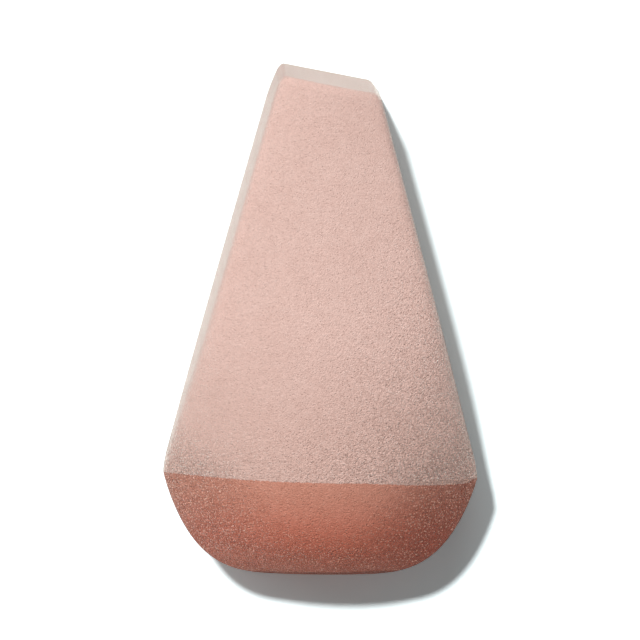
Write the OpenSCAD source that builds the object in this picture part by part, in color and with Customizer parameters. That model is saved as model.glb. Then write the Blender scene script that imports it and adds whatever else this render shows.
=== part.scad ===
// Makeup sponge: a pale tapered foam body with a slanted tip, bonded to a dark rounded foam base.
// It lies on its flat back with its front up: X across the width, Y towards the tip, Z up.
// The origin is on the flat back, at the middle of the sponge's length and width.

/* [Body] */
// Length of the pale body, from the joint to the middle of the tip
body_l = 49.3; // [40:0.1:60]
// Width at the joint, which is the widest place
body_w = 39.1; // [32:0.1:46]
// Thickness at the joint
body_t = 21; // [16:0.5:28]
// How far the sides round in next to the joint
corner_drop = 0.25; // [0:0.05:0.5]
// Length of that rounding
corner_l = 2.5; // [2:0.1:6]
// How far the front rounds down towards the joint
front_drop = 3; // [0:0.1:4]
// Length of that rounding
drop_l = 20; // [15:1:40]

/* [Tip] */
// Width of the tip
tip_w = 12.8; // [8:0.1:20]
// Thickness of the tip
tip_t = 16; // [10:0.1:20]
// Slant of the tip cut across the width, in degrees
tip_slant = 10; // [0:0.1:20]
// Lean of the tip cut through the thickness, in degrees
tip_lean = 6.3; // [0:0.1:12]
// Rounding of the edge round the tip
tip_edge_r = 0.7; // [0.2:0.1:1.5]
// How far the side rounds in at the far corner of the tip
tip_drop = 0.5; // [0:0.1:1]
// Length of that rounding
tip_drop_l = 4; // [2:0.5:8]

/* [Base] */
// Length of the dark base, from the joint to its far end
base_l = 12.5; // [8:0.1:20]
// Bluntness of the base seen from the front: higher is flatter at the end
base_power = 4.5; // [3:0.1:8]
// Roundness of the base's shoulders: 1 leaves them angular
shoulder_power = 1.12; // [1:0.02:1.5]
// Bluntness of the base seen from the side: 2 is an ellipse
side_power = 2; // [2:0.1:4]
// Share of that side curve that lies before the joint
base_start_share = 0.03; // [0:0.01:0.4]
// Tilt of the joint across the width, in degrees
joint_tilt = 0.5; // [0:0.1:4]

/* [Section] */
// Squareness of the front half at the joint: 2 is an ellipse, higher is squarer
front_power = 2.8; // [2:0.1:6]
// Squareness of the back half at the joint
back_power = 4; // [2.4:0.1:8]
// Squareness of the whole section at the tip, where its edges are crisp
tip_power = 14; // [6:1:16]
// How soon the edges turn crisp on the way to the tip: higher is sooner
crisp_power = 5; // [1:0.1:6]
// Depth of the rounded back that is cut off flat
back_flat = 0.5; // [0.2:0.1:1]
// Height of the widest line at the joint, as a share of the thickness
joint_side_share = 0.57; // [0.45:0.01:0.65]
// The same at the tip
tip_side_share = 0.38; // [0.3:0.01:0.6]
// How far the front arches down to its sides at the joint, as a share of its height over the widest line
joint_crown_share = 0.74; // [0:0.01:0.9]
// The same at the tip
tip_crown_share = 0.10; // [0:0.01:0.5]
// How soon that arch fades on the way to the tip
crown_power = 4; // [1:0.1:5]
// How far the sides lean in over the widest line, at the joint
joint_draft = 0.4; // [0:0.1:1]
// The same at the tip
tip_draft = 0.5; // [0:0.1:1]

/* [Bond] */
// Thickness of the adhesive film
film_t = 0.3; // [0.2:0.05:0.6]
// How far the film's pocket stays inside the skin
film_inset = 2; // [1.5:0.1:3]
// Gap between the film's rim and its pocket
film_gap = 0.2; // [0.1:0.05:0.4]

/* [Hidden] */

around = 96;      // points round every section
body_rings = 20;  // steps along the body
edge_rings = 4;   // steps round the tip's edge
base_rings = 16;  // steps round the base
solve_steps = 4;  // passes that bring a point onto a cut plane

base_mid_z = joint_side_share * body_t; // height that the base closes on

function mix(a, b, k) = a + (b - a) * k;
function fade(y, reach) = pow(min(1, max(0, 1 - y / reach)), 2);

// Measures of the section at a distance y from the joint
function width_at(y) =
    mix(body_w + 2 * corner_drop, tip_w, y / body_l) - 2 * corner_drop * fade(y, corner_l);
function thick_at(y) =
    mix(body_t + front_drop, tip_t, y / body_l) - front_drop * fade(y, drop_l);
function side_at(y) = mix(joint_side_share * body_t, tip_side_share * tip_t, y / body_l);
function crown_at(y) =
    mix(tip_crown_share, joint_crown_share, pow(max(0, 1 - y / body_l), crown_power));
function crisp_at(y) = 1 - pow(max(0, 1 - y / body_l), crisp_power);
function power_at(y, p) = 1 / mix(1 / p, 1 / tip_power, crisp_at(y));

// How far the tip's far corner, on the left, draws in the side at y
function corner_at(across, y) =
    let (away = body_l - tan(tip_slant) * across * tip_w / 2 - y)
    tip_drop * fade(max(0, away), tip_drop_l) * (1 - across) / 2;

// One point of the section at y: an upper and a lower half of different squareness,
// the upper one arched, the lower one cut off flat, and all of it drawn in by inset
function section_point(a, y, inset) =
    let (t = thick_at(y), side_z = side_at(y), up = sin(a) >= 0,
         p = power_at(y, up ? front_power : back_power),
         size = pow(pow(abs(cos(a)), p) + pow(abs(sin(a)), p), 1 / p),
         across = cos(a) / size,
         reach = up ? (t - side_z) * (1 - crown_at(y) * across * across) : side_z + back_flat,
         z = max(0, side_z + reach * sin(a) / size),
         wall_share = min(1, max(0, z - side_z) / (t - side_z)),
         draft = mix(joint_draft, tip_draft, y / body_l) * wall_share)
    [(width_at(y) / 2 - draft - corner_at(across, y) - inset) * across,
     inset + z * (t - 2 * inset) / t];

// The two cut planes, as a distance along Y
function joint_y(x) = -tan(joint_tilt) * x;
function tip_y(x, z) = body_l - tan(tip_slant) * x - tan(tip_lean) * (z - tip_t / 2);

// Where the line at angle a meets each plane
function joint_meet(a, y = 0, n = solve_steps) =
    n == 0 ? y : joint_meet(a, joint_y(section_point(a, y, 0)[0]), n - 1);
function tip_meet(a, y = body_l, n = solve_steps) =
    n == 0 ? y
    : let (q = section_point(a, y, 0)) tip_meet(a, tip_y(q[0], q[1]), n - 1);

// Rings of points, each the full way round
angles = [for (i = [0 : around - 1]) 360 * i / around];
function joint_ring(inset, drop) =
    [for (a = angles) let (q = section_point(a, joint_meet(a), inset))
        [q[0], joint_y(q[0]) - drop, q[1]]];
function body_ring(k) =
    [for (a = angles)
        let (end = tip_meet(a) - tip_edge_r, y = mix(joint_meet(a), end, k),
             q = section_point(a, y, 0))
        [q[0], y, q[1]]];
function edge_ring(k) =
    [for (a = angles)
        let (rise = tip_edge_r * (1 - sin(90 * k)), inset = tip_edge_r * (1 - cos(90 * k)),
             q = section_point(a, tip_meet(a), inset))
        [q[0], tip_y(q[0], q[1]) - rise, q[1]]];
function base_ring(k) =
    let (wide = cos(90 * k), far = pow(1 - pow(wide, base_power), 1 / shoulder_power),
         left = 1 - pow(mix(base_start_share, 1, far), side_power),
         thick = pow(max(0, left) / (1 - pow(base_start_share, side_power)), 1 / side_power))
    [for (q = joint_ring(0, 0))
        [q[0] * wide, mix(q[1], -base_l, far), mix(base_mid_z, q[2], thick)]];

// The middle of the whole sponge in X and Y, which is moved to the origin
rim = joint_ring(0, 0);
tip_face = edge_ring(1);
mid_x = (min([for (q = rim) q[0]]) + max([for (q = rim) q[0]])) / 2;
mid_y = (max([for (q = tip_face) q[1]]) - base_l) / 2;

// A closed skin through a stack of rings, with a flat cap at each end
module skin(rings) {
    n = len(rings[0]);
    last = len(rings) - 1;
    polyhedron(
        points = [for (ring = rings) each ring],
        faces = concat(
            [[for (i = [0 : n - 1]) i]],
            [for (r = [0 : last - 1], i = [0 : n - 1]) let (j = (i + 1) % n)
                each [[r * n + i, (r + 1) * n + i, (r + 1) * n + j],
                      [r * n + i, (r + 1) * n + j, r * n + j]]],
            [[for (i = [n - 1 : -1 : 0]) last * n + i]]),
        convexity = 4);
}

module placed() translate([-mid_x, -mid_y, 0]) children();

// Pale foam: crisp edges at the slanted tip, rounder towards the joint
module tapered_body() {
    color([0.85, 0.70, 0.65]) placed() skin(concat(
        [for (k = [0 : body_rings]) body_ring(k / body_rings)],
        [for (k = [1 : edge_rings]) edge_ring(k / edge_rings)]));
}

// Dark foam: a blunt dome with a shallow pocket for the film in its joint face
module rounded_base() {
    color([0.70, 0.42, 0.36]) placed() skin(concat(
        [for (k = [base_rings - 1 : -1 : 1]) base_ring(k / base_rings)],
        [joint_ring(0, 0), joint_ring(film_inset, 0), joint_ring(film_inset, film_t)]));
}

// Adhesive that holds the two foams together
module bond_film() {
    color([0.93, 0.88, 0.80]) placed() skin([
        joint_ring(film_inset + film_gap, film_t),
        joint_ring(film_inset + film_gap, 0)]);
}

tapered_body();
rounded_base();
bond_film();
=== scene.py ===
# A two-tone foam makeup sponge lying on a pale table, seen almost from straight above
import math
import bmesh
import bpy
from mathutils import Matrix, Vector


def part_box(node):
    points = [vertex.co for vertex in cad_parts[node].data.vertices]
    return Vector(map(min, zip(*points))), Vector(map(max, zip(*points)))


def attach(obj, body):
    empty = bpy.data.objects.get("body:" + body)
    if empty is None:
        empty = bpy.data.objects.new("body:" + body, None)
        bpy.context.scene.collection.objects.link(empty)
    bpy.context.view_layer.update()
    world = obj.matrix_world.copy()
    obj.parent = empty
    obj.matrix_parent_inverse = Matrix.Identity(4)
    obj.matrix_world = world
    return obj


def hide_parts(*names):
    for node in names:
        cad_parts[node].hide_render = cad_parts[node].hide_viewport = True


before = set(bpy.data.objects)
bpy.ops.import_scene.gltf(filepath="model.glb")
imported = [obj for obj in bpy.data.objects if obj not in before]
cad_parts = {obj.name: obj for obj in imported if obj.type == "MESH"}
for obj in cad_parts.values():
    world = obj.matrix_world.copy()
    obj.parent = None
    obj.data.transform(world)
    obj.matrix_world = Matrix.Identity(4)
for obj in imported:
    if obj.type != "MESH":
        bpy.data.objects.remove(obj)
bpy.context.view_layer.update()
mm = 0.001

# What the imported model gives: where the joint is, its width and the length of the base
bodyLow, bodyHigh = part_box("tapered_body")
baseLow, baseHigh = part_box("rounded_base")
jointWidth = baseHigh.x - baseLow.x
jointY = (bodyLow.y + baseHigh.y) / 2
baseLength = jointY - baseLow.y
print("frame loaded, joint at", round(jointY / mm, 2), "mm")

# The sponge's own shape, in the joint's frame: X across, Y towards the tip, Z up
sponge = {
    "bodyLength": 49.3 * mm,      # joint to the middle of the tip
    "tipWidth": 12.8 * mm,
    "cornerDrop": 0.25 * mm,      # how far the sides round in at the joint
    "cornerLength": 2.5 * mm,
    "jointHeight": 21 * mm,       # thickness at the joint
    "tipHeight": 16 * mm,
    "tipSlant": 10,               # degrees, across the width
    "tipLean": 6.3,               # degrees, through the thickness
    "tipEdge": 0.7 * mm,          # rounding of the edge round the tip
    "tipDrop": 0.4 * mm,          # how far the far corner of the tip rounds in
    "tipDropLength": 4 * mm,
    "jointTilt": 0.5,             # degrees
    "frontPower": 2.8,            # squareness of the section: 2 is an ellipse
    "backPower": 4,
    "tipPower": 20,
    "crispPower": 5,              # how soon the edges turn crisp on the way to the tip
    "backFlat": 0.5 * mm,
    "jointSideShare": 0.57,       # height of the widest line, as a share of the thickness
    "tipSideShare": 0.38,
    "jointDraft": 0.4 * mm,       # how far the side walls lean in above the widest line
    "tipDraft": 0.5 * mm,
    "jointCrownShare": 0.74,      # how far the front arches down to its sides
    "tipCrownShare": 0.10,
    "crownPower": 4,              # how soon that arch fades on the way to the tip
    "frontDrop": 3 * mm,          # how far the front rounds down to the joint
    "dropLength": 20 * mm,
    "basePower": 4.5,             # bluntness of the base from the front
    "shoulderPower": 1.12,        # roundness of its shoulders: 1 leaves them angular
    "sidePower": 2,               # bluntness of the base from the side
    "baseStart": 0.03,            # share of the side curve that lies before the joint
}
jointMiddle = Vector((0, jointY, 0))
solvePasses = 4  # passes that bring a line onto a cut plane


def mix(a, b, k):
    return a + (b - a) * k


# Falls from 1 to 0 over the given length
def fade(distance, length):
    return min(1, max(0, 1 - distance / length)) ** 2


# A point of the section at a distance y from the joint, in the direction turn
def sectionPoint(turn, y, inset=0):
    along = y / sponge["bodyLength"]
    corner = 2 * sponge["cornerDrop"]
    width = mix(jointWidth + corner, sponge["tipWidth"], along)
    width -= corner * fade(y, sponge["cornerLength"])
    height = mix(sponge["jointHeight"] + sponge["frontDrop"], sponge["tipHeight"], along)
    height -= sponge["frontDrop"] * fade(y, sponge["dropLength"])
    jointSide = sponge["jointSideShare"] * sponge["jointHeight"]
    sideZ = mix(jointSide, sponge["tipSideShare"] * sponge["tipHeight"], along)
    crisp = 1 - max(0, 1 - along) ** sponge["crispPower"]
    front = math.sin(turn) >= 0
    plainPower = sponge["frontPower"] if front else sponge["backPower"]
    power = 1 / mix(1 / plainPower, 1 / sponge["tipPower"], crisp)
    size = (abs(math.cos(turn)) ** power + abs(math.sin(turn)) ** power) ** (1 / power)
    across, upward = math.cos(turn) / size, math.sin(turn) / size
    archShare = max(0, 1 - along) ** sponge["crownPower"]
    arch = mix(sponge["tipCrownShare"], sponge["jointCrownShare"], archShare)
    reach = (height - sideZ) * (1 - arch * across ** 2) if front else sideZ + sponge["backFlat"]
    z = max(0, sideZ + reach * upward)
    wallShare = min(1, max(0, z - sideZ) / (height - sideZ))
    draft = mix(sponge["jointDraft"], sponge["tipDraft"], along) * wallShare
    tipCut = math.tan(math.radians(sponge["tipSlant"])) * across * sponge["tipWidth"] / 2
    away = max(0, sponge["bodyLength"] - tipCut - y)
    farCorner = sponge["tipDrop"] * fade(away, sponge["tipDropLength"]) * (1 - across) / 2
    return (width / 2 - draft - farCorner - inset) * across, inset + z * (height - 2 * inset) / height


def jointPlane(x):
    return -math.tan(math.radians(sponge["jointTilt"])) * x


def tipPlane(x, z):
    slant = math.tan(math.radians(sponge["tipSlant"])) * x
    lean = math.tan(math.radians(sponge["tipLean"])) * (z - sponge["tipHeight"] / 2)
    return sponge["bodyLength"] - slant - lean


# Where the lines of the body meet the two cut planes, found by a few passes
def meetJoint(turn):
    y = 0
    for _ in range(solvePasses):
        y = jointPlane(sectionPoint(turn, y)[0])
    return y


def meetTip(turn):
    y = sponge["bodyLength"]
    for _ in range(solvePasses):
        y = tipPlane(*sectionPoint(turn, y))
    return y


# The rings: k runs from 0 to 1 along the body, round the edge of the tip, and round the base
def bodyRing(turn, k):
    y = mix(meetJoint(turn), meetTip(turn) - sponge["tipEdge"], k)
    x, z = sectionPoint(turn, y)
    return Vector((x, y, z))


def tipEdgeRing(turn, k):
    edgeRadius = sponge["tipEdge"]
    inset = edgeRadius * (1 - math.cos(math.radians(90 * k)))
    rise = edgeRadius * (1 - math.sin(math.radians(90 * k)))
    x, z = sectionPoint(turn, meetTip(turn), inset)
    return Vector((x, tipPlane(x, z) - rise, z))


def baseRing(turn, k):
    wide = math.cos(math.radians(90 * k))
    far = (1 - wide ** sponge["basePower"]) ** (1 / sponge["shoulderPower"])
    start = sponge["baseStart"]
    fall = (1 - mix(start, 1, far) ** sponge["sidePower"]) / (1 - start ** sponge["sidePower"])
    thick = max(0, fall) ** (1 / sponge["sidePower"])
    rim = bodyRing(turn, 0)
    middle = sponge["jointSideShare"] * sponge["jointHeight"]
    return Vector((rim.x * wide, mix(rim.y, -baseLength, far), mix(middle, rim.z, thick)))


# The vertices of a loop of edges, each once and always in the same order
def loopVerts(loop):
    return list(dict.fromkeys(vert for edge in loop for vert in edge.verts))


# A closed skin: a circle is extruded ring by ring, and each ring is laid on its section.
# The first ring is the one at the joint
def loft(name, around, rings, capSteps):
    bm = bmesh.new()
    turnLayer = bm.verts.layers.float.new("turn")
    ring = bmesh.ops.create_circle(bm, segments=around, radius=1, cap_ends=False)["verts"]
    for vert in ring:
        vert[turnLayer] = math.atan2(vert.co.y, vert.co.x)
    creaseLayer = bm.edges.layers.float.new("crease_edge")
    edges = list(bm.edges)
    first = edges[:]

    def lay(loop, place):
        for vert in loopVerts(loop):
            vert.co = place(vert[turnLayer]) + jointMiddle

    def grow(loop):
        geometry = bmesh.ops.extrude_edge_only(bm, edges=loop)["geom"]
        return [item for item in geometry if isinstance(item, bmesh.types.BMEdge)]

    # A flat end: rings drawn in towards the middle, and the last one closed to a point
    def close(loop):
        verts = loopVerts(loop)
        middle = sum((vert.co for vert in verts), Vector()) / len(verts)
        for step in range(1, capSteps):
            loop = grow(loop)
            share = 1 - step / capSteps
            for vert in loopVerts(loop):
                vert.co = middle + (vert.co - middle) * share / (share + 1 / capSteps)
        bmesh.ops.pointmerge(bm, verts=loopVerts(loop), merge_co=middle)

    lay(edges, rings[0])
    for place in rings[1:]:
        edges = grow(edges)
        lay(edges, place)
    for edge in first:
        edge[creaseLayer] = 1  # the rim at the joint stays crisp
        edge.smooth = False
    close(first)
    close(edges)
    bmesh.ops.recalc_face_normals(bm, faces=bm.faces[:])
    mesh = bpy.data.meshes.new(name)
    bm.to_mesh(mesh)
    bm.free()
    mesh.shade_smooth()
    piece = bpy.data.objects.new(name, mesh)
    bpy.context.scene.collection.objects.link(piece)
    return piece


# The foam's own unevenness, as real relief on top of one smoothing
def finishFoam(piece, lumpSize, lumpHeight):
    smooth = piece.modifiers.new("smooth", "SUBSURF")
    smooth.levels = smooth.render_levels = 1
    lumps = bpy.data.textures.new(piece.name + "Lumps", "CLOUDS")
    lumps.noise_scale = lumpSize
    lumps.noise_depth = 2
    relief = piece.modifiers.new("relief", "DISPLACE")
    relief.texture = lumps
    relief.texture_coords = "LOCAL"
    relief.strength = lumpHeight
    relief.mid_level = 0.5


bodySettings = {"around": 176, "rings": 96, "edgeRings": 5, "capSteps": 10,
                "lump": 0.4 * mm, "relief": 0.02 * mm}
bodySteps, edgeSteps = bodySettings["rings"], bodySettings["edgeRings"]
bodyRings = [lambda turn, k=i / bodySteps: bodyRing(turn, k) for i in range(bodySteps + 1)]
bodyRings += [lambda turn, k=i / edgeSteps: tipEdgeRing(turn, k) for i in range(1, edgeSteps + 1)]
taperedFoam = loft("taperedFoam", bodySettings["around"], bodyRings, bodySettings["capSteps"])
finishFoam(taperedFoam, bodySettings["lump"], bodySettings["relief"])
print("tapered body made,", len(taperedFoam.data.polygons), "faces before smoothing")

baseSettings = {"around": 176, "rings": 56, "capSteps": 10, "lump": 0.4 * mm, "relief": 0.02 * mm}
baseSteps = baseSettings["rings"]
baseRings = [lambda turn, k=i / baseSteps: baseRing(turn, k) for i in range(baseSteps)]
roundedFoam = loft("roundedFoam", baseSettings["around"], baseRings, baseSettings["capSteps"])
finishFoam(roundedFoam, baseSettings["lump"], baseSettings["relief"])
print("rounded base made,", len(roundedFoam.data.polygons), "faces before smoothing")


# Small helpers for node trees
def addNode(tree, kind, **values):
    node = tree.nodes.new(kind)
    for key, value in values.items():
        setattr(node, key, value)
    return node


def join(tree, source, target, name):
    tree.links.new(source, target.inputs[name])


def addSocket(group, name, direction, kind="Float"):
    group.interface.new_socket(name, in_out=direction, socket_type="NodeSocket" + kind)


def mathNode(tree, operation, first, second=0.0, third=0.0):
    node = addNode(tree, "ShaderNodeMath", operation=operation)
    for socket, value in zip(node.inputs, (first, second, third)):
        if isinstance(value, (int, float)):
            socket.default_value = value
        else:
            tree.links.new(value, socket)
    return node.outputs[0]


# Turns a value between low and high into 0 to 1, smoothly
def softStep(tree, value, low, high):
    node = addNode(tree, "ShaderNodeMapRange", interpolation_type="SMOOTHSTEP")
    node.inputs["From Min"].default_value = low
    node.inputs["From Max"].default_value = high
    join(tree, value, node, "Value")
    return node.outputs["Result"]


# A Mix node keeps its colours in sockets 6 and 7, and puts them out of socket 2
def mixColour(tree, blend, factor, first, second):
    node = addNode(tree, "ShaderNodeMix", data_type="RGBA", blend_type=blend)
    sockets = (node.inputs[0], node.inputs[6], node.inputs[7])
    for socket, value in zip(sockets, (factor, first, second)):
        if isinstance(value, (int, float)):
            socket.default_value = value
        elif isinstance(value, tuple):
            socket.default_value = (*value, 1)
        else:
            tree.links.new(value, socket)
    return node.outputs[2]


# Slanted: where the foam is cut on a slant, but not on level faces and upright walls.
# The shade mask: painted shade towards the right end of the joint, or both ends, where the surface turns away
# from the light.
# The open mask: wider, and strongest at the lower right and near the joint, where the light grazes; there the
# grain is stronger, in its bump and in its painted pit shade
def makeWearAndShade(wearAndShadeSettings):
    group = bpy.data.node_groups.new("foamWearAndShade", "ShaderNodeTree")
    addSocket(group, "Facing", "INPUT", "Vector")
    addSocket(group, "Place", "INPUT", "Vector")
    addSocket(group, "Lean", "INPUT")
    addSocket(group, "Shade Start", "INPUT")
    addSocket(group, "Shade Full", "INPUT")
    addSocket(group, "Both Sides", "INPUT")
    addSocket(group, "Slanted", "OUTPUT")
    addSocket(group, "Painted Shade", "OUTPUT")
    addSocket(group, "Open Where Light Grazes", "OUTPUT")
    start = addNode(group, "NodeGroupInput")
    end = addNode(group, "NodeGroupOutput")
    parts = addNode(group, "ShaderNodeSeparateXYZ")
    join(group, start.outputs["Facing"], parts, "Vector")
    slanted = softStep(group, parts.outputs["Z"], wearAndShadeSettings["level"], wearAndShadeSettings["slanted"])
    notUpright = softStep(group, parts.outputs["Z"], wearAndShadeSettings["upright"], wearAndShadeSettings["leaning"])
    join(group, mathNode(group, "MULTIPLY", slanted, notUpright), end, "Slanted")
    spot = addNode(group, "ShaderNodeSeparateXYZ")
    join(group, start.outputs["Place"], spot, "Vector")
    height = mathNode(group, "SUBTRACT", spot.outputs["Y"], jointY)
    eitherSide = mathNode(group, "ABSOLUTE", spot.outputs["X"])
    mirrored = mathNode(group, "SUBTRACT", eitherSide, spot.outputs["X"])
    across = mathNode(group, "MULTIPLY_ADD", mirrored, start.outputs["Both Sides"], spot.outputs["X"])
    leaned = mathNode(group, "MULTIPLY", height, start.outputs["Lean"])
    towards = mathNode(group, "SUBTRACT", across, leaned)
    # Painted shade ramp: grows towards the right end of the joint, or both ends, and down towards the joint
    paintedShadeRamp = addNode(group, "ShaderNodeMapRange", interpolation_type="SMOOTHSTEP")
    join(group, towards, paintedShadeRamp, "Value")
    join(group, start.outputs["Shade Start"], paintedShadeRamp, "From Min")
    join(group, start.outputs["Shade Full"], paintedShadeRamp, "From Max")
    join(group, paintedShadeRamp.outputs["Result"], end, "Painted Shade")
    # The grain opens most at the lower right and near the joint, where the light grazes; this strengthens its
    # painted pit shade as well as its bump
    openAcross = mathNode(group, "MULTIPLY_ADD", height, -wearAndShadeSettings["openLean"], spot.outputs["X"])
    right = softStep(group, openAcross, wearAndShadeSettings["openFrom"], wearAndShadeSettings["openFull"])
    nearJoint = softStep(group, height, wearAndShadeSettings["jointReach"], 0)
    opened = mathNode(group, "MULTIPLY_ADD", nearJoint, wearAndShadeSettings["jointShare"], right)
    join(group, opened, end, "Open Where Light Grazes")
    return group


# Foam seen close: pebbly cell tops, open pits between them, darkened as painted shade, and a few cell walls
# that catch the light, lightened as painted glints
def makeFoamGrain(grainSettings):
    group = bpy.data.node_groups.new("foamGrain", "ShaderNodeTree")
    addSocket(group, "Place", "INPUT", "Vector")
    addSocket(group, "Cell Size", "INPUT")
    addSocket(group, "Openness", "INPUT")
    addSocket(group, "Height", "OUTPUT")
    addSocket(group, "Shaded Pits", "OUTPUT")
    addSocket(group, "Glint Specks", "OUTPUT")
    addSocket(group, "Tone", "OUTPUT")
    start = addNode(group, "NodeGroupInput")
    end = addNode(group, "NodeGroupOutput")
    place = start.outputs["Place"]
    perMetre = mathNode(group, "DIVIDE", 1.0, start.outputs["Cell Size"])

    def pattern(kind, sizeInCells):
        node = addNode(group, kind)
        join(group, place, node, "Vector")
        join(group, mathNode(group, "DIVIDE", perMetre, sizeInCells), node, "Scale")
        return node

    def spots(sizeInCells):
        node = pattern("ShaderNodeTexVoronoi", sizeInCells)
        return softStep(group, node.outputs["Distance"], grainSettings["spotRim"], grainSettings["spotCore"])

    tops = pattern("ShaderNodeTexVoronoi", 1.0)
    parts = addNode(group, "ShaderNodeSeparateColor")
    join(group, tops.outputs["Color"], parts, "Color")
    pebbles = mathNode(group, "SUBTRACT", 1.0, tops.outputs["Distance"])
    uneven = mathNode(group, "MULTIPLY_ADD", parts.outputs["Red"], grainSettings["topUneven"], pebbles)
    noise = pattern("ShaderNodeTexNoise", grainSettings["noiseSize"])
    noise.inputs["Detail"].default_value = grainSettings["noiseDetail"]
    rough = mathNode(group, "MULTIPLY_ADD", noise.outputs["Fac"], grainSettings["noiseHeight"], uneven)
    pits = spots(grainSettings["pitSize"])
    specks = spots(grainSettings["speckSize"])
    hollowed = mathNode(group, "MULTIPLY_ADD", pits, -grainSettings["pitDepth"], rough)
    height = mathNode(group, "MULTIPLY_ADD", specks, grainSettings["speckHeight"], hollowed)
    openness = start.outputs["Openness"]
    gain = mathNode(group, "MULTIPLY_ADD", openness, grainSettings["openGain"], grainSettings["shutGain"])
    strength = mathNode(group, "MULTIPLY_ADD", openness, grainSettings["openTone"], grainSettings["shutTone"])
    join(group, mathNode(group, "MULTIPLY", height, gain), end, "Height")
    # Painted shade in the pits, scaled by the grain's strength
    join(group, mathNode(group, "MULTIPLY", pits, strength), end, "Shaded Pits")
    # Painted glints on the specks, scaled by the grain's strength
    join(group, mathNode(group, "MULTIPLY", specks, strength), end, "Glint Specks")
    join(group, mathNode(group, "MULTIPLY", parts.outputs["Green"], strength), end, "Tone")
    return group


# Slow unevenness of dye and wear, in blotches of two sizes
def makeFoamMottle(mottleSettings):
    group = bpy.data.node_groups.new("foamMottle", "ShaderNodeTree")
    addSocket(group, "Place", "INPUT", "Vector")
    addSocket(group, "Blotch Size", "INPUT")
    addSocket(group, "Mottle", "OUTPUT")
    start = addNode(group, "NodeGroupInput")
    end = addNode(group, "NodeGroupOutput")
    perMetre = mathNode(group, "DIVIDE", 1.0, start.outputs["Blotch Size"])
    parts = []
    for share in mottleSettings["fineness"]:
        node = addNode(group, "ShaderNodeTexNoise")
        node.inputs["Detail"].default_value = mottleSettings["detail"]
        join(group, start.outputs["Place"], node, "Vector")
        join(group, mathNode(group, "MULTIPLY", perMetre, share), node, "Scale")
        parts.append(node.outputs["Fac"])
    both = mathNode(group, "ADD", parts[0], parts[1])
    join(group, softStep(group, both, mottleSettings["low"], mottleSettings["high"]), end, "Mottle")
    return group


# Distance from the joint plane, positive on the tip's side, and a mask for the other foam's side of it
def makeJointLine(lineSettings):
    group = bpy.data.node_groups.new("jointLine", "ShaderNodeTree")
    addSocket(group, "Place", "INPUT", "Vector")
    addSocket(group, "Raggedness", "INPUT")
    addSocket(group, "Distance", "OUTPUT")
    addSocket(group, "Base Side", "OUTPUT")
    start = addNode(group, "NodeGroupInput")
    end = addNode(group, "NodeGroupOutput")
    parts = addNode(group, "ShaderNodeSeparateXYZ")
    join(group, start.outputs["Place"], parts, "Vector")
    tilt = math.tan(math.radians(sponge["jointTilt"]))
    tilted = mathNode(group, "MULTIPLY_ADD", parts.outputs["X"], tilt, parts.outputs["Y"])
    distance = mathNode(group, "SUBTRACT", tilted, jointY)
    ragged = addNode(group, "ShaderNodeTexNoise")
    ragged.inputs["Scale"].default_value = 1 / lineSettings["raggedSize"]
    ragged.inputs["Detail"].default_value = lineSettings["raggedDetail"]
    join(group, start.outputs["Place"], ragged, "Vector")
    centred = mathNode(group, "SUBTRACT", ragged.outputs["Fac"], 0.5)
    shift = mathNode(group, "MULTIPLY", centred, start.outputs["Raggedness"])
    rise = softStep(group, parts.outputs["X"], lineSettings["bowFrom"], lineSettings["bowFull"])
    sink = softStep(group, parts.outputs["X"], lineSettings["bowEnd"], lineSettings["bowUntil"])
    bowed = mathNode(group, "MULTIPLY", rise, sink)
    shifted = mathNode(group, "ADD", distance, shift)
    moved = mathNode(group, "MULTIPLY_ADD", bowed, lineSettings["bowDepth"], shifted)
    join(group, distance, end, "Distance")
    join(group, softStep(group, moved, lineSettings["blur"], -lineSettings["blur"]), end, "Base Side")
    return group


# Level to leaning are upward parts of the surface's direction, 1 on a level face and 0 on a wall
wearAndShadeSettings = {"level": 0.985, "slanted": 0.72, "upright": 0.1, "leaning": 0.35,
                "openLean": 0.35, "openFrom": -8 * mm, "openFull": 17 * mm,
                "jointReach": 9 * mm, "jointShare": 0.3}
# Sizes are in cells, and shut and open say how strong the grain is where the open mask is low or high
grainSettings = {"topUneven": 0.6, "noiseSize": 1.2, "noiseDetail": 1, "noiseHeight": 0.5,
                 "pitSize": 2.4, "pitDepth": 0.9, "speckSize": 2.2, "speckHeight": 0.5,
                 "spotRim": 0.34, "spotCore": 0.14,
                 "shutGain": 0.8, "openGain": 1.35, "shutTone": 0.27, "openTone": 0.73}
mottleSettings = {"fineness": (1.0, 4.0), "detail": 2, "low": 0.7, "high": 1.3}
# On the right the pale dye bows a little over the joint
lineSettings = {"raggedSize": 0.3 * mm, "raggedDetail": 3, "blur": 0.04 * mm, "bowFrom": 4 * mm,
                "bowFull": 15.5 * mm, "bowUntil": 18.1 * mm, "bowEnd": 19.3 * mm, "bowDepth": 0.55 * mm}
foamWearAndShade = makeWearAndShade(wearAndShadeSettings)
foamGrain = makeFoamGrain(grainSettings)
foamMottle = makeFoamMottle(mottleSettings)
jointLine = makeJointLine(lineSettings)


def placeGroup(tree, group, place, **values):
    node = addNode(tree, "ShaderNodeGroup", node_tree=group)
    join(tree, place, node, "Place")
    for key, value in values.items():
        node.inputs[key].default_value = value
    return node
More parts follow.
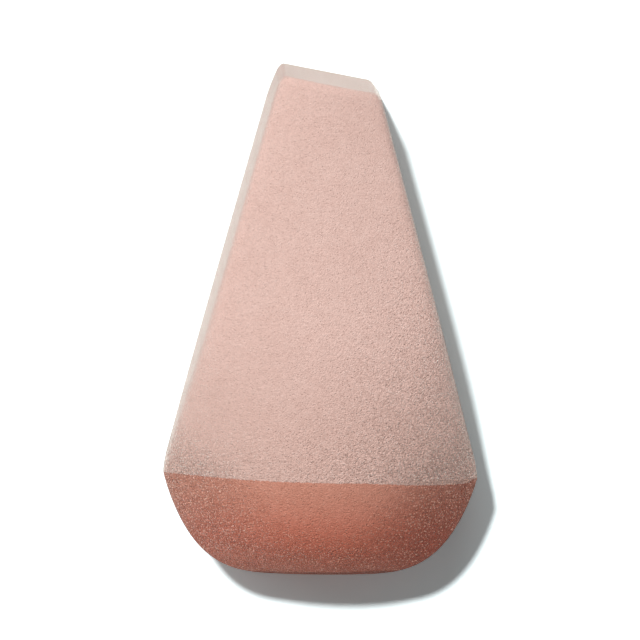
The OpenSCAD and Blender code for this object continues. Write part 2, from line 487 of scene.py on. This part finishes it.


# One foam: its colour runs from the joint to its far end, with mottle, painted shade towards the ends of the
# joint and in its pits, painted glints on its specks, and a velvety sheen
def makeFoam(name, tone, bleed):
    material = bpy.data.materials.new(name)
    material.use_nodes = True
    material.cycles.use_bump_map_correction = False  # the grain keeps its contrast in grazing light
    tree = material.node_tree
    tree.nodes.clear()
    out = addNode(tree, "ShaderNodeOutputMaterial")
    skin = addNode(tree, "ShaderNodeBsdfPrincipled")
    tree.links.new(skin.outputs[0], out.inputs[0])
    coordinates = addNode(tree, "ShaderNodeTexCoord")
    place = coordinates.outputs["Object"]
    wearAndShade = placeGroup(tree, foamWearAndShade, place, **tone["paintedShadeRamp"])
    join(tree, coordinates.outputs["Normal"], wearAndShade, "Facing")
    grain = placeGroup(tree, foamGrain, place, **{"Cell Size": tone["cell"]})
    openBy = wearAndShade.outputs[tone["openWhere"]]
    openness = mathNode(tree, "MULTIPLY_ADD", wearAndShade.outputs["Painted Shade"], tone["grainUnderPaintedShade"], openBy)
    join(tree, openness, grain, "Openness")
    mottle = placeGroup(tree, foamMottle, place, **{"Blotch Size": tone["blotch"]})
    line = placeGroup(tree, jointLine, place, Raggedness=tone["ragged"])
    away = softStep(tree, mathNode(tree, "ABSOLUTE", line.outputs["Distance"]), 0, tone["colourRunLength"])
    lengthColour = mixColour(tree, "MIX", away, tone["atJoint"], tone["atEnd"])
    # The pale colour is lifted where the grain opens
    if "opened" in tone:
        lengthColour = mixColour(tree, "MULTIPLY", wearAndShade.outputs["Open Where Light Grazes"], lengthColour, tone["opened"])
    # Painted shade towards the ends of the joint, where the surface turns from the light
    shadePainted = mixColour(tree, "MULTIPLY", wearAndShade.outputs["Painted Shade"], lengthColour, tone["paintedShadeColor"])
    blotched = mixColour(tree, "MULTIPLY", mottle.outputs["Mottle"], shadePainted, tone["mottle"])
    crossed = line.outputs["Base Side"]
    if not bleed["fromBase"]:
        crossed = mathNode(tree, "SUBTRACT", 1.0, crossed)
    bordered = mixColour(tree, "MIX", crossed, blotched, bleed["color"])
    edged = mixColour(tree, "MULTIPLY", grain.outputs["Tone"], bordered, tone["grainColor"])
    # Painted shade darkens the pits
    pitShadeShare = mathNode(tree, "MULTIPLY", grain.outputs["Shaded Pits"], tone["pitDepth"])
    pitShaded = mixColour(tree, "MULTIPLY", pitShadeShare, edged, tone["pitShadeColor"])
    # Painted glints lighten the specks
    glintShare = mathNode(tree, "MULTIPLY", grain.outputs["Glint Specks"], tone["glintShare"])
    glinted = mixColour(tree, "MIX", glintShare, pitShaded, tone["glintColor"])
    join(tree, glinted, skin, "Base Color")
    dull = mathNode(tree, "MULTIPLY_ADD", grain.outputs["Shaded Pits"], tone["pitRough"], tone["rough"])
    join(tree, dull, skin, "Roughness")
    skin.inputs["Specular IOR Level"].default_value = tone["gloss"]
    skin.inputs["Sheen Weight"].default_value = tone["sheen"]
    skin.inputs["Sheen Roughness"].default_value = tone["sheenRoughness"]
    skin.inputs["Sheen Tint"].default_value = (*tone["sheenTint"], 1)
    bump = addNode(tree, "ShaderNodeBump")
    bump.inputs["Strength"].default_value = 1
    bump.inputs["Distance"].default_value = tone["depth"]
    join(tree, grain.outputs["Height"], bump, "Height")
    join(tree, bump.outputs[0], skin, "Normal")
    return material


# The pale is darker and pinker at the joint than at the tip; the dark is greyer at the joint and redder at
# its end
paleTone = {
    "atJoint": (0.755, 0.507, 0.438), "atEnd": (0.784, 0.541, 0.475), "colourRunLength": 20 * mm,
    "mottle": (0.97, 0.955, 0.95), "blotch": 5 * mm, "ragged": 0.45 * mm,
    "cell": 0.15 * mm, "depth": 0.05 * mm, "grainColor": (0.52, 0.47, 0.45),
    # The pit colour is painted shade in the pits, and the speck colour painted glints on cell walls
    "pitDepth": 0.8, "pitShadeColor": (0.66, 0.55, 0.52), "glintShare": 0.5, "glintColor": (0.95, 0.84, 0.78),
    "openWhere": "Open Where Light Grazes", "opened": (1.25, 1.25, 1.25),
    # Painted shade towards both ends of the joint, with its colour on the next line
    "paintedShadeRamp": {"Lean": 1.2, "Shade Start": 7 * mm, "Shade Full": 16 * mm, "Both Sides": 1},
    "paintedShadeColor": (0.96, 0.94, 0.93), "grainUnderPaintedShade": 0.6, "rough": 0.84, "pitRough": 0.12,
    "gloss": 0.15, "sheen": 1.0, "sheenRoughness": 0.3, "sheenTint": (0.96, 1, 0.93)}
darkTone = {
    "atJoint": (0.655, 0.295, 0.215), "atEnd": (0.68, 0.205, 0.135), "colourRunLength": 9 * mm,
    "mottle": (0.93, 0.90, 0.88), "blotch": 4 * mm, "ragged": 0.45 * mm,
    "cell": 0.15 * mm, "depth": 0.075 * mm, "grainColor": (0.55, 0.47, 0.44),
    # The pit colour is painted shade in the pits, and the speck colour painted glints on cell walls
    "pitDepth": 0.6, "pitShadeColor": (0.60, 0.50, 0.46), "glintShare": 0.9, "glintColor": (0.94, 0.54, 0.40),
    "openWhere": "Slanted",
    # Painted shade towards the right end of the joint, with its colour on the next line
    "paintedShadeRamp": {"Lean": 0.35, "Shade Start": 5 * mm, "Shade Full": 19 * mm, "Both Sides": 0},
    "paintedShadeColor": (0.79, 0.68, 0.66), "grainUnderPaintedShade": 0.4, "rough": 0.84, "pitRough": 0.12,
    "gloss": 0.15, "sheen": 0.7, "sheenRoughness": 0.22, "sheenTint": (1, 0.8, 0.72)}
# Where the ragged line strays over the joint, each foam takes a colour near the other's
paleFoam = makeFoam("paleFoam", paleTone, {"fromBase": True, "color": darkTone["atJoint"]})
darkFoam = makeFoam("darkFoam", darkTone, {"fromBase": False, "color": (0.67, 0.46, 0.395)})
taperedFoam.data.materials.append(paleFoam)
roundedFoam.data.materials.append(darkFoam)


# Dried adhesive: a slightly cloudy, half-glossy film
def makeGlue(glueTone):
    material = bpy.data.materials.new("bondGlue")
    material.use_nodes = True
    tree = material.node_tree
    skin = tree.nodes["Principled BSDF"]
    place = addNode(tree, "ShaderNodeTexCoord").outputs["Object"]
    mottle = placeGroup(tree, foamMottle, place, **{"Blotch Size": glueTone["cloud"]})
    cloudy = mixColour(tree, "MIX", mottle.outputs["Mottle"], glueTone["clear"], glueTone["cloudy"])
    join(tree, cloudy, skin, "Base Color")
    dull = mathNode(tree, "MULTIPLY_ADD", mottle.outputs["Mottle"], glueTone["cloudRough"], glueTone["rough"])
    join(tree, dull, skin, "Roughness")
    bump = addNode(tree, "ShaderNodeBump")
    bump.inputs["Distance"].default_value = glueTone["depth"]
    join(tree, mottle.outputs["Mottle"], bump, "Height")
    join(tree, bump.outputs[0], skin, "Normal")
    return material


glueTone = {"clear": (0.80, 0.68, 0.52), "cloudy": (0.88, 0.80, 0.68), "cloud": 1.5 * mm,
            "depth": 0.05 * mm, "rough": 0.3, "cloudRough": 0.25}
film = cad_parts["bond_film"]
film.data.materials.clear()
film.data.materials.append(makeGlue(glueTone))
print("materials made")

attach(taperedFoam, "root")
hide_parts("tapered_body")
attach(roundedFoam, "root")
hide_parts("rounded_base")

# Floor, world, a sun from the upper left and a wide soft light from the same side, lower down
stageSettings = {"sunDirection": (0.30, -0.45, -1), "sunShare": 0.70, "sunAngle": 4,
                 "softDirection": (0.95, -1.65, -1), "softShare": 0.13, "softAngle": 70,
                 "fillShare": 0.17, "floorColor": (0.6, 0.6, 0.6), "floorSeen": (1.29, 1.45, 1.47),
                 "floorSize": 3, "floorDrop": 0.02 * mm}  # the drop clears the foam's own relief
bm = bmesh.new()
floorPlace = Matrix.Translation((0, 0, -stageSettings["floorDrop"]))
bmesh.ops.create_grid(bm, x_segments=1, y_segments=1, size=stageSettings["floorSize"], matrix=floorPlace)
floorMesh = bpy.data.meshes.new("floor")
bm.to_mesh(floorMesh)
bm.free()
floor = bpy.data.objects.new("floor", floorMesh)
bpy.context.scene.collection.objects.link(floor)


# The camera sees one shader, and every other ray meets the plain one
def splitForCamera(tree, plain, seen, out):
    rays = addNode(tree, "ShaderNodeLightPath")
    choose = addNode(tree, "ShaderNodeMixShader")
    tree.links.new(rays.outputs["Is Camera Ray"], choose.inputs[0])
    tree.links.new(plain.outputs[0], choose.inputs[1])
    tree.links.new(seen.outputs[0], choose.inputs[2])
    tree.links.new(choose.outputs[0], out.inputs[0])


paper = bpy.data.materials.new("paper")
paper.use_nodes = True
tree = paper.node_tree
tree.nodes.clear()
out = addNode(tree, "ShaderNodeOutputMaterial")
plain = addNode(tree, "ShaderNodeBsdfDiffuse")
plain.inputs["Color"].default_value = (*stageSettings["floorColor"], 1)
seen = addNode(tree, "ShaderNodeBsdfDiffuse")
seen.inputs["Color"].default_value = (*stageSettings["floorSeen"], 1)
splitForCamera(tree, plain, seen, out)
floorMesh.materials.append(paper)


# A lamp so far off that only its direction counts; share is what it gives a level surface
def addSun(name, direction, share, angle):
    shine = Vector(direction).normalized()
    lamp = bpy.data.lights.new(name, "SUN")
    lamp.energy = share * math.pi / abs(shine.z)
    lamp.angle = math.radians(angle)
    lampObject = bpy.data.objects.new(name, lamp)
    lampObject.rotation_mode = "QUATERNION"
    lampObject.rotation_quaternion = shine.to_track_quat("-Z", "Y")
    bpy.context.scene.collection.objects.link(lampObject)


addSun("keyLight", stageSettings["sunDirection"], stageSettings["sunShare"], stageSettings["sunAngle"])
addSun("softLight", stageSettings["softDirection"], stageSettings["softShare"], stageSettings["softAngle"])

world = bpy.data.worlds.new("softRoom")
bpy.context.scene.world = world
world.use_nodes = True
tree = world.node_tree
tree.nodes.clear()
out = addNode(tree, "ShaderNodeOutputWorld")
room = addNode(tree, "ShaderNodeBackground")
room.inputs["Strength"].default_value = stageSettings["fillShare"]
room.inputs["Color"].default_value = (1, 1, 1, 1)
backdrop = addNode(tree, "ShaderNodeBackground")
backdrop.inputs["Color"].default_value = (1, 1, 1, 1)
splitForCamera(tree, room, backdrop, out)

# The camera stands above the sponge, a little towards the tip
cameraSettings = {"azimuth": -145.82, "elevation": 84.855, "distance": 450 * mm, "focalPixels": 3530.1,
                  "target": (0.233 * mm, 18.393 * mm), "roll": 0.947, "imageSide": 640,
                  "sensorWidth": 36, "nearest": 10 * mm}
azimuth, elevation = (math.radians(cameraSettings[key]) for key in ("azimuth", "elevation"))
level = math.cos(elevation)
back = Vector((math.sin(azimuth) * level, -math.cos(azimuth) * level, math.sin(elevation)))
right = Vector((0, 1, 0)).cross(back).normalized()
up = back.cross(right)
roll = Matrix.Rotation(math.radians(cameraSettings["roll"]), 3, "Z")
turn = Matrix((right, up, back)).transposed() @ roll
lens = bpy.data.cameras.new("camera")
lens.sensor_width = cameraSettings["sensorWidth"]
lens.lens = cameraSettings["focalPixels"] * lens.sensor_width / cameraSettings["imageSide"]
lens.clip_start = cameraSettings["nearest"]
camera = bpy.data.objects.new("camera", lens)
target = Vector((*cameraSettings["target"], 0)) + jointMiddle
camera.matrix_world = Matrix.Translation(target + back * cameraSettings["distance"]) @ turn.to_4x4()
bpy.context.scene.collection.objects.link(camera)
bpy.context.scene.camera = camera
bpy.context.scene.view_settings.view_transform = "Standard"
print("stage, lights and camera set")
